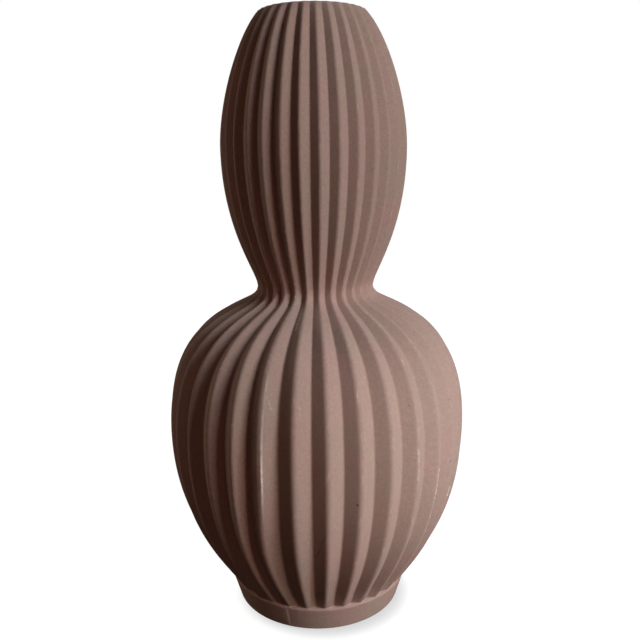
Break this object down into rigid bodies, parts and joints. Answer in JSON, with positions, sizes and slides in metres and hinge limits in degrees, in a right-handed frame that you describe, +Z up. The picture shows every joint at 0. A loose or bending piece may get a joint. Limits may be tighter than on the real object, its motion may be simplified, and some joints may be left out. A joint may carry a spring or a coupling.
{
  "type": "ceramic vase",
  "caption": "Ribbed double-bulb stoneware vase with a narrow waist and plain foot band, glazed inside, standing on small pads.",
  "frame": {"origin": "centre of the footprint, in the plane of the pads' undersides", "axes": "+Z up along the vase's axis; -Y faces the front rib crest, and the mould's seam runs two ribs to its left"},
  "size_m": [0.153, 0.153, 0.301],
  "materials": {
    "stoneware": "matte sandy coat",
    "glaze": "gloss",
    "pad": "matte"
  },
  "bodies": {
    "root": {"vase_body": "stoneware", "glaze_lining": "glaze", "foot_pad_1": "pad", "foot_pad_2": "pad", "foot_pad_3": "pad", "foot_pad_4": "pad"}
  },
  "joints": []
}
